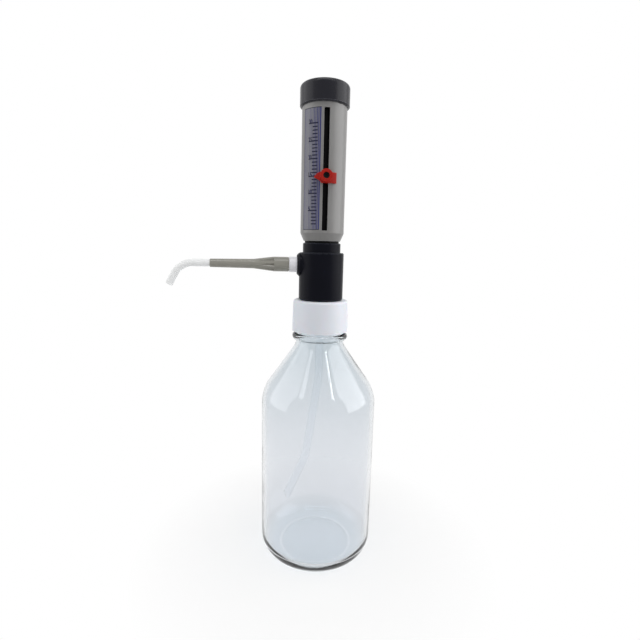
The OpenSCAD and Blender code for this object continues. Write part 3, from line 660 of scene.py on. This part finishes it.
# %% Painted shade along the label's edge
# The dark strip along the top, bottom and left edge of the label is painted shade: the shadow at the
# edge of its recess, laid on as thin proud strips.
LABEL_LEFT, LABEL_RIGHT, LABEL_LOW, LABEL_HIGH = -64.0, -14.0, 282.86, 372.9
EDGE_SHADE_MM, EDGE_SHADE_DEGREES = 0.6, 1.2
rim = bmesh.new()
bar(rim, LABEL_LEFT, LABEL_RIGHT, LABEL_HIGH - EDGE_SHADE_MM, LABEL_HIGH)
bar(rim, LABEL_LEFT, LABEL_RIGHT, LABEL_LOW, LABEL_LOW + EDGE_SHADE_MM)
bar(rim, LABEL_LEFT, LABEL_LEFT + EDGE_SHADE_DEGREES, LABEL_LOW, LABEL_HIGH)
wrap(rim)
keep(rim, "label_edge_shade_strip", "label_edge_shade", "plunger")

# %% [markdown]
# ## Floor and light
#
# A plain pale floor and plain soft light. The world lights the object weakly from all round, a
# large lamp stands at the right and a weaker one at the left, so round plastic is darkest at its
# middle. A low one hangs above for the upper edges, and two narrow ones draw the bright lines down
# the bottle's shoulder. Seen by the camera, in a reflection or through glass, the world is plain
# white. The floor is the same white far off and turns to an ordinary pale surface near the foot,
# so that it takes the shadow.

# %% Floor
FLOOR_SIZE = 6.0
ground = bmesh.new()
bmesh.ops.create_grid(ground, x_segments=1, y_segments=1, size=FLOOR_SIZE / 2)
mesh = bpy.data.meshes.new("floor")
ground.to_mesh(mesh)
ground.free()
floor = bpy.data.objects.new("floor", mesh)
bpy.context.scene.collection.objects.link(floor)

sheet, tree, shader = new_finish("pale_floor", (0.93, 0.93, 0.93, 1), 0.9,
                                 Specular_IOR_Level=0.0)
place = node(tree, "ShaderNodeTexCoord")
away = node(tree, "ShaderNodeVectorMath", operation="LENGTH")
fade = node(tree, "ShaderNodeMapRange", {"From Min": 0.05, "From Max": 0.16, "To Min": 0.6})
white = node(tree, "ShaderNodeEmission", {"Color": (1, 1, 1, 1), "Strength": 1.0})
path = node(tree, "ShaderNodeLightPath")
seen = node(tree, "ShaderNodeMath", operation="MAXIMUM")
seen_through = node(tree, "ShaderNodeMath", operation="MAXIMUM")
share = node(tree, "ShaderNodeMath", operation="MULTIPLY")
either = node(tree, "ShaderNodeMixShader")
wire = tree.links.new
wire(place.outputs["Object"], away.inputs[0])
wire(away.outputs["Value"], fade.inputs["Value"])
wire(path.outputs["Is Camera Ray"], seen.inputs[0])
wire(path.outputs["Is Glossy Ray"], seen.inputs[1])
wire(seen.outputs[0], seen_through.inputs[0])
wire(path.outputs["Is Transmission Ray"], seen_through.inputs[1])
wire(seen_through.outputs[0], share.inputs[0])
wire(fade.outputs["Result"], share.inputs[1])
wire(share.outputs[0], either.inputs["Fac"])
wire(shader.outputs["BSDF"], either.inputs[1])
wire(white.outputs["Emission"], either.inputs[2])
wire(either.outputs["Shader"], tree.nodes["Material Output"].inputs["Surface"])
mesh.materials.append(sheet)

# %% World and lamps
LIGHT_LEVEL = 0.25
world = bpy.data.worlds.new("plain_studio")
bpy.context.scene.world = world
world.use_nodes = True
tree = world.node_tree
back = tree.nodes["Background"]
back.inputs["Color"].default_value = (1, 1, 1, 1)
path = node(tree, "ShaderNodeLightPath")
seen = node(tree, "ShaderNodeMath", operation="MAXIMUM")
seen_through = node(tree, "ShaderNodeMath", operation="MAXIMUM")
level = node(tree, "ShaderNodeMix", {"A": LIGHT_LEVEL, "B": 1.0}, data_type="FLOAT")
wire = tree.links.new
wire(path.outputs["Is Camera Ray"], seen.inputs[0])
wire(path.outputs["Is Glossy Ray"], seen.inputs[1])
wire(seen.outputs[0], seen_through.inputs[0])
wire(path.outputs["Is Transmission Ray"], seen_through.inputs[1])
wire(seen_through.outputs[0], level.inputs["Factor"])
wire(level.outputs["Result"], back.inputs["Strength"])


def soft_lamp(name, azimuth, elevation, distance, size, watts):
    """An area lamp aimed at the object; azimuth turns from the front towards +X, in degrees."""
    data = bpy.data.lights.new(name, "AREA")
    data.shape, data.size, data.size_y, data.energy = "RECTANGLE", *size, watts
    lamp = bpy.data.objects.new(name, data)
    bpy.context.scene.collection.objects.link(lamp)
    turn, rise = math.radians(azimuth), math.radians(elevation)
    away = Vector((math.cos(rise) * math.sin(turn), -math.cos(rise) * math.cos(turn), math.sin(rise)))
    lamp.location = Vector((0, 0, 0.2)) + away * distance
    lamp.rotation_euler = away.to_track_quat("Z", "Y").to_euler()


soft_lamp("key", 78, 22, 1.2, (1.2, 1.3), 9.8)
soft_lamp("fill", -92, 20, 1.2, (1.2, 1.3), 5.5)
soft_lamp("top", -6, 68, 1.2, (0.9, 0.2), 3.6)
soft_lamp("right_strip", 31, 53, 1.2, (0.05, 0.8), 1.3)
soft_lamp("left_strip", -49, 53, 1.2, (0.2, 0.8), 0.9)
print("world level", LIGHT_LEVEL)

# %% [markdown]
# ## Finish
#
# The view stays at Standard, so a colour renders as it is written.

# %% Finish
bpy.context.scene.view_settings.view_transform = "Standard"
